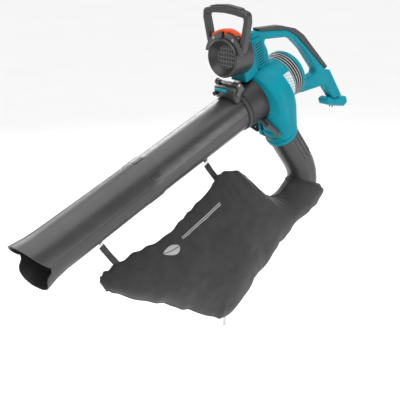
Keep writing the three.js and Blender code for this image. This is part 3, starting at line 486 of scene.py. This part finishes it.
def piece(name, vertices, faces, slot, body="machine", place=TOOL, smooth=True, finish=None):
    """A new piece from points in millimetres in the machine's frame, or in the frame `place`.

    It takes the material that `finish` names, or else the slot's own.
    """
    thing = make_mesh(name, [place @ (Vector(v) * MM) for v in vertices], faces, smooth)
    thing.data.materials.append(finish_for(finish or slot))
    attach(thing, body)
    return thing


def turns_of(count):
    """Angles of equal steps round a circle."""
    return [2 * math.pi * k / count for k in range(count)]


def loft(rings, caps=True, closed=True):
    """Faces between rings of equally many points. `closed` joins each ring's end to its start."""
    sides = len(rings[0])
    vertices = [point for ring in rings for point in ring]
    faces = []
    for i in range(len(rings) - 1):
        for j in range(sides if closed else sides - 1):
            k = (j + 1) % sides
            faces.append((i * sides + j, i * sides + k, (i + 1) * sides + k, (i + 1) * sides + j))
    if caps and closed:
        last = (len(rings) - 1) * sides
        faces.append(tuple(range(sides))[::-1])
        faces.append(tuple(range(last, last + sides)))
    return vertices, faces


def swept(points, radius, sides, squash=1.0):
    """A round or flattened bar through points."""
    points = [Vector(p) for p in points]
    rings = []
    normal = Vector((0, 1, 0.01))
    for i, point in enumerate(points):
        ahead = points[min(i + 1, len(points) - 1)] - points[max(i - 1, 0)]
        ahead.normalize()
        normal = (normal - normal.project(ahead)).normalized()
        side = ahead.cross(normal)
        spokes = [math.cos(a) * normal + squash * math.sin(a) * side for a in turns_of(sides)]
        rings.append([point + radius * spoke for spoke in spokes])
    return loft(rings)


def block(low, high, bevel):
    """A box with its edges taken off, as points and faces."""
    rings = []
    for z, inset in ((low[2], bevel), (low[2] + bevel, 0), (high[2] - bevel, 0), (high[2], bevel)):
        x0, x1, y0, y1 = low[0] + inset, high[0] - inset, low[1] + inset, high[1] - inset
        rings.append([
            (x0 + bevel, y0, z), (x1 - bevel, y0, z), (x1, y0 + bevel, z), (x1, y1 - bevel, z),
            (x1 - bevel, y1, z), (x0 + bevel, y1, z), (x0, y1 - bevel, z), (x0, y0 + bevel, z),
        ])
    return loft(rings)


def several(parts):
    """Joins lists of (points, faces) into one."""
    vertices, faces = [], []
    for points, polygons in parts:
        start = len(vertices)
        vertices += list(points)
        faces += [tuple(start + i for i in polygon) for polygon in polygons]
    return vertices, faces


# ---- the collection bag --------------------------------------------------------------------------

# From the neck to the tip: the top edge and the bottom edge (x, z), sideways place, half width.
BAG = [
    ((102, -298), (210, -394), -56, 51.5),
    ((86, -305), (214, -416), -55, 54.5),
    ((30, -316), (146, -450), -50, 60),
    ((-23, -274), (56, -466), -42, 68),
    ((-80, -166), (-56, -510), -35, 74),
    ((-148, -128), (-146, -546), -30, 78),
    ((-196, -148), (-248, -586), -26, 76),
    ((-292, -172), (-318, -558), -20, 69),
    ((-404, -193), (-396, -468), -14, 60),
    ((-520, -172), (-500, -360), -8, 48),
    ((-620, -164), (-612, -246), -4, 26),
    ((-642, -176), (-640, -200), -3, 10),
]
BAG_ALONG = 150
BAG_ROUND = 96
CLOTH = 0.0012

# The cloth's relief: how many puckers and swells lie along the bag, and their depths.
PUCKERS = 21
PUCKER_DEPTH = 3.4
SWELLS = 8.5
SWELL_DEPTH = 4.5
SLACK = 1.5
# How far along the bag the zip's pull hangs. The cloth is kept flatter there, so that the pull clears it.
PULL_AT = 0.56


def spline(values, s):
    """Catmull-Rom through values, s from 0 to 1."""
    last = len(values) - 1
    place = min(max(s, 0), 1) * last
    i = min(int(place), last - 1)
    t = place - i
    a, b, c, d = (values[min(max(k, 0), last)] for k in (i - 1, i, i + 1, i + 2))
    square = (2 * a - 5 * b + 4 * c - d) * t * t
    cube = (3 * b - a - 3 * c + d) * t ** 3
    return 0.5 * (2 * b + (c - a) * t + square + cube)


BAG_TOP = [Vector((top[0], y, top[1])) for top, _, y, _ in BAG]
BAG_BOTTOM = [Vector((bottom[0], y, bottom[1])) for _, bottom, y, _ in BAG]
BAG_HALF = [half for *_, half in BAG]


def smoothstep(value, low, high):
    """Rises smoothly from 0 at `low` to 1 at `high`."""
    t = min(max((value - low) / (high - low), 0), 1)
    return t * t * (3 - 2 * t)


def bag_relief(s, high, edge, shape):
    """How far the cloth stands out: folds all over, puckers by the seams, swells along the bottom."""
    wander = noise.noise(Vector((9 * s, math.copysign(3, high), 0)))
    folds = noise.noise(shape / 120) * 7 + noise.noise(shape / 45 + Vector((7, 0, 0))) * 1.8
    pucker = math.sin(2 * math.pi * (PUCKERS * s + 1.3 * wander))
    depth = 0.5 + abs(noise.noise(Vector((4 * s, high, 2))))
    pleat = PUCKER_DEPTH * pucker * smoothstep(abs(high), 0.45, 1.0) * depth
    swell = math.sin(2 * math.pi * (SWELLS * s + 0.7 * wander)) * SWELL_DEPTH * smoothstep(-high, 0.3, 1.0)
    calm = smoothstep(abs(s - PULL_AT), 0.015, 0.06) if high < 0 else 1
    free = smoothstep(s, 0.06, 0.2)
    return free * (folds * (1 - 0.8 * edge) + (pleat + swell) * calm - SLACK)


def bag_middle(s):
    """The middle of the bag's section at s."""
    return (spline(BAG_TOP, s) + spline(BAG_BOTTOM, s)) / 2


def bag_point(s, angle):
    """A point of the bag: s along it, angle round it with a quarter turn at its top edge."""
    middle = bag_middle(s)
    rise = spline(BAG_TOP, s) - middle
    pinch = 1 + 0.55 * smoothstep(s, 0.05, 0.25)
    across = math.copysign(abs(math.cos(angle)) ** pinch, math.cos(angle))
    high = math.sin(angle)
    edge = smoothstep(abs(high), 0.72, 1.0)
    sideways = Vector((0, math.copysign(1, across), 0))
    away = sideways * (1 - edge) + rise.normalized() * math.copysign(edge, high)
    shape = middle + rise * high + Vector((0, spline(BAG_HALF, s) * across, 0))
    return shape + away * bag_relief(s, high, edge, shape)


def bag_shell():
    """The bag's cloth from its open neck to its closed tip."""
    rings = []
    for i in range(BAG_ALONG + 1):
        s = i / BAG_ALONG
        rings.append([bag_point(s, -2 * math.pi * j / BAG_ROUND) for j in range(BAG_ROUND)])
    vertices, faces = loft(rings, caps=False)
    tip = BAG_ALONG * BAG_ROUND
    faces.append(tuple(range(tip, tip + BAG_ROUND)))
    bag = piece("bag_shell", vertices, faces, "bag_fabric")
    thick = bag.modifiers.new("cloth_thickness", "SOLIDIFY")
    thick.thickness = CLOTH
    thick.offset = -1
    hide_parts("collection_bag")


def bag_line(name, angle, radius, start, end, slot, lift=1.0):
    """A cord that follows the bag at one angle round it."""
    steps = 140
    path = []
    for i in range(steps + 1):
        s = start + (end - start) * i / steps
        point = bag_point(s, angle)
        path.append(point + (point - bag_middle(s)).normalized() * lift)
    vertices, faces = swept(path, radius, 8)
    piece(name, vertices, faces, slot)


def bag_hem():
    """The gathered, elasticated hem round the neck."""
    rings = []
    for s, lift in ((0.0, 0.4), (0.0, 2.6), (0.012, 3.6), (0.026, 3.4), (0.034, 2.2), (0.034, 0.4)):
        middle = bag_middle(s)
        ring = []
        for angle in turns_of(96):
            point = bag_point(s, angle)
            ripple = 0.7 * math.sin(30 * angle + 9 * s)
            ring.append(point + (point - middle).normalized() * (lift + (ripple if lift > 1 else 0)))
        rings.append(ring)
    vertices, faces = loft(rings + [rings[0]], caps=False)
    piece("bag_neck_hem", vertices, faces, "bag_fabric")


PRINT_LIFT = 0.9
INK = 0.0003


def print_strip(spot, low, high, count):
    """Points and faces of a thin print: spot(t, v) for t from 0 to 1 and v from low(t) to high(t)."""
    across = 3
    rows = []
    for i in range(count + 1):
        t = i / count
        a, b = low(t), high(t)
        rows.append([spot(t, a + (b - a) * k / across) for k in range(across + 1)])
    return loft(rows, caps=False, closed=False)


def on_bag(s, angle):
    """A point just off the bag's right side."""
    return bag_point(s, angle) + Vector((0, -PRINT_LIFT, 0))


def bag_print():
    """A plain leaf and a plain double stripe printed on the bag's right side."""
    def leaf(t, v):
        return on_bag(0.712 + 0.046 * t, math.radians(129) + v)

    def stripe(t, v):
        return on_bag(0.55 + 0.144 * t, math.radians(126 - 3 * t) + v)

    def blade(t):
        return 0.14 * math.sin(math.pi * min(max(t, 0.001), 0.999)) ** 0.75 * (1.15 - 0.4 * t) + 0.006

    prints = [
        print_strip(leaf, lambda t: 0.008, blade, 20),
        print_strip(leaf, lambda t: -blade(t), lambda t: -0.008, 20),
        print_strip(stripe, lambda t: -0.035, lambda t: -0.012, 40),
        print_strip(stripe, lambda t: 0.012, lambda t: 0.035, 40),
    ]
    vertices, faces = several(prints)
    ink = piece("bag_print", vertices, faces, "label", finish="print_ink")
    film = ink.modifiers.new("ink_film", "SOLIDIFY")
    film.thickness = INK


def bag_details():
    """Corded seams along the bag's top and bottom edges, and its zip's tape beside the bottom one."""
    quarter = math.pi / 2
    bag_line("bag_top_seam", quarter, 1.7, 0.05, 0.985, "bag_fabric")
    bag_line("bag_bottom_seam", -quarter, 1.9, 0.05, 0.985, "bag_fabric")
    bag_line("bag_zip_tape", -quarter + 0.18, 2.3, 0.4, 0.86, "strap_fabric", 0.5)


# ---- straps, rings, spring -----------------------------------------------------------------------


STRAP_HALF = 9.2
STRAP_BOW = 2.0
STITCH_LINE = 7.4


def strap(name, top, end, node):
    """Webbing from its ring to the bag, doubled at both ends and sewn down by two rows of stitches."""
    top, end = Vector(top), Vector(end)
    run = (end - top).normalized()
    side = Vector((0, 1, 0)).cross(run).normalized()
    out = run.cross(side)
    half = side * STRAP_HALF
    rows = []
    for i in range(25):
        t = i / 24
        middle = top + (end - top) * t + out * STRAP_BOW * math.sin(math.pi * t)
        thick = out * (1.9 if t < 0.3 or t > 0.6 else 1.1)
        near, far = middle - half, middle + half
        rows.append([near - thick, far - thick, far + thick, near + thick])
    vertices, faces = loft(rows)
    band = piece(name, vertices, faces, "strap_fabric", smooth=False)
    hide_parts(node)
    stitches = []
    for i in range(12):
        t = 0.62 + 0.34 * i / 11
        for shift in (-1, 1):
            middle = top + (end - top) * t + side * STITCH_LINE * shift
            for face in (-1, 1):
                spot = middle + out * (STRAP_BOW * math.sin(math.pi * t) + 1.95 * face)
                stitches.append(swept([spot - run * 0.9, spot + run * 0.9], 0.35, 6))
    vertices, faces = several(stitches)
    piece(name + "_stitches", vertices, faces, "strap_fabric")


def hinge_coil():
    """The real coil of wire where the CAD has a ribbed sleeve."""
    middle_x, start_y, middle_z = -17, -24, 98
    radius, length, wire = 5.4, 36, 1.05
    turns, steps = 8, 22
    path = []
    for i in range(turns * steps + 1):
        angle = 2 * math.pi * i / steps
        y = start_y + length * i / (turns * steps)
        path.append((middle_x + radius * math.cos(angle), y, middle_z + radius * math.sin(angle)))
    vertices, faces = swept(path, wire, 8)
    coil = piece("hinge_coil", vertices, faces, "steel")
    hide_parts("hinge_spring")


# ---- mouldings -----------------------------------------------------------------------------------


# Outer radii at the ends of the suction tube's two halves, as (x, radius).
REAR_HALF = ((-381, 61.2), (0, 60))
FRONT_HALF = ((-425, 62.6), (-800, 65.5))


def tube_radius(x):
    """Outer radius of the suction tube at x."""
    (x0, r0), (x1, r1) = REAR_HALF if x > FRONT_HALF[0][0] else FRONT_HALF
    return r0 + (r1 - r0) * (x - x0) / (x1 - x0)


def moulding_line(name, start, end, angle):
    """A fine raised line along the suction tube, at one angle round it."""
    path = []
    for i in range(25):
        x = start + (end - start) * i / 24
        r = tube_radius(x) + 0.1
        path.append((x, r * math.cos(angle), r * math.sin(angle)))
    vertices, faces = swept(path, 0.55, 6, 0.8)
    piece(name, vertices, faces, "grey_plastic")


def moulding_lines():
    """The mould's parting lines on both sides of both halves of the tube."""
    for half, start, end in (("front", -812, -432), ("rear", -378, -16)):
        for side, degrees in (("right", 176), ("left", 4)):
            moulding_line(f"tube_{half}_moulding_{side}", start, end, math.radians(degrees))


def grille():
    """The cooling grille in the hub: upright slats crossed by bars, over a dark disc of painted shade."""
    radius, slat, pitch, bar_pitch = 35.2, 0.9, 6.4, 12.5
    parts = []
    for i in range(-5, 6):
        y = i * pitch
        reach = math.sqrt(radius ** 2 - y ** 2)
        parts.append(block((20.4, y - slat, -reach), (22.4, y + slat, reach), 0.3))
    for j in range(-2, 3):
        z = j * bar_pitch
        reach = math.sqrt(radius ** 2 - z ** 2)
        parts.append(block((19.8, -reach, z - slat), (22.0, reach, z + slat), 0.3))
    vertices, faces = several(parts)
    bars = piece(
        "hub_grille_bars", vertices, faces, "grey_plastic",
        place=HUB, smooth=False, finish="grille_plastic",
    )
    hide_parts("hub_grille")
    turns = turns_of(64)
    profile = ((20.4, 36.2), (18.9, 36.2), (18.9, 34.4), (23.4, 34.4))
    rings = [[(x, r * math.cos(a), r * math.sin(a)) for a in turns] for x, r in profile]
    vertices, faces = loft(rings, caps=False)
    piece("hub_grille_rim", vertices, faces, "grey_plastic", place=HUB)
    # A dark disc of painted shade behind the grille, for the shaded inside seen between its slats.
    discs = [[(x, 36.0 * math.cos(a), 36.0 * math.sin(a)) for a in turns] for x in (23.6, 24.2)]
    vertices, faces = loft(discs)
    piece("hub_grille_painted_shade", vertices, faces, "dark_plastic", place=HUB, smooth=False)


def post_slots():
    """The panel of short slots on each side of the handle's post, drawn as dark strips of painted shade,
    in a raised frame.
    """
    post_face, slot_face, frame_face = 23.6, 24.25, 25.2
    edges = (
        ((100, 84), (103, 170)),
        ((134, 84), (137, 170)),
        ((100, 84), (137, 87)),
        ((100, 167), (137, 170)),
    )
    for side, word in ((-1, "right"), (1, "left")):
        slots, frame_bars = [], []
        low, high = sorted((side * post_face, side * slot_face))
        for i in range(9):
            z = 92 + 8.2 * i
            slots.append(block((106, low, z), (131, high, z + 3.4), 0.2))
        low, high = sorted((side * post_face, side * frame_face))
        for (x0, z0), (x1, z1) in edges:
            frame_bars.append(block((x0, low, z0), (x1, high, z1), 0.4))
        vertices, faces = several(slots)
        # These dark teal strips are painted shade standing for the depth of the slots.
        piece(f"post_slots_{word}", vertices, faces, "teal_plastic", smooth=False, finish="shadow_teal")
        vertices, faces = several(frame_bars)
        piece(f"post_frame_{word}", vertices, faces, "teal_plastic", smooth=False)


def outlet_point(along, angle, radius):
    """A point round the straight part of the discharge tube, `along` from the fan's outlet."""
    axis = Vector((math.sin(OUTLET_LEAN), 0, -math.cos(OUTLET_LEAN)))
    across = Vector((math.cos(OUTLET_LEAN), 0, math.sin(OUTLET_LEAN)))
    spoke = math.cos(angle) * across + math.sin(angle) * Vector((0, 1, 0))
    return OUTLET + axis * along + spoke * radius


def outlet_brow():
    """The wall that joins the casing's front to its outlet spout, below the latch."""
    rows = []
    for i in range(25):
        y = -97 + 84 * i / 24
        top = Vector((57.8 + 0.0055 * (y + 52) ** 2, y, -101))
        foot = Vector((55.6 + 0.012 * (y + 58) ** 2, y, -131))
        bulge = top.lerp(foot, 0.5) + Vector((-1.2, 0, 0))
        inner = Vector((2.2, 0, 0))
        rows.append([top, bulge, foot, foot + inner, bulge + inner, top + inner])
    vertices, faces = loft(rows)
    piece("outlet_brow", vertices, faces, "teal_plastic")


def outlet_flutes():
    """Long raised ribs down the discharge tube."""
    flutes = []
    for degrees in (-98, -78, -58, -38, 58, 78, 98):
        path = [outlet_point(16 + 96 * i / 12, math.radians(degrees), OUTLET_RADIUS) for i in range(13)]
        flutes.append(swept(path, 1.3, 8))
    vertices, faces = several(flutes)
    piece("outlet_flutes", vertices, faces, "grey_plastic")


def neck_gather():
    """The neck's elastic, which draws the cloth in round the discharge tube in fine pleats."""
    rise = (BAG_TOP[0] - BAG_BOTTOM[0]).normalized()
    inward = Vector((0.62, 0, 0.78))
    centre = Vector((149.8, -56, -340.4)) + inward * 9
    inner_radius = OUTLET_RADIUS + 1
    rings = []
    for i in range(9):
        t = i / 8
        ring = []
        for angle in turns_of(144):
            outer = bag_point(0, angle)
            inner = centre + inner_radius * (math.cos(angle) * Vector((0, 1, 0)) + math.sin(angle) * rise)
            pleat = 1.5 * math.sin(28 * angle) + 3.5
            ring.append(outer.lerp(inner, t) + inward * pleat * math.sin(math.pi * t))
        rings.append(ring)
    vertices, faces = loft(rings, caps=False)
    gather = piece("bag_neck_gather", vertices, faces, "bag_fabric")
    thick = gather.modifiers.new("cloth_thickness", "SOLIDIFY")
    thick.thickness = CLOTH


def screw_recesses():
    """The star recess in each clamp screw's head, drawn as a thin dark star of painted shade."""
    for side, word in ((1, "left"), (-1, "right")):
        star = []
        for k, angle in enumerate(turns_of(24)):
            r = 2.0 if k % 4 < 2 else 1.35
            star.append((6.45, side * 37 + r * math.cos(angle), 55 + r * math.sin(angle)))
        vertices, faces = loft([star, [(x + 0.3, y, z) for x, y, z in star]])
        # Each star is a thin dark piece of painted shade, standing for the hollow of the recess.
        piece(f"clamp_screw_recess_painted_shade_{word}", vertices, faces, "dark_plastic", "front_handle", HUB, False)


make_camera()
bpy.context.scene.view_settings.view_transform = "Standard"
make_world()
make_lights()
make_floor()
dress_frame()
bag_shell()
bag_hem()
bag_details()
strap("front_strap_band", (-600, 0, -91), (-574, -6, -171), "front_strap")
strap("rear_strap_band", (-170, 0, -91), (-164, -28, -146), "rear_strap")
hinge_coil()
moulding_lines()
grille()
post_slots()
outlet_flutes()
outlet_brow()
neck_gather()
bag_print()
screw_recesses()
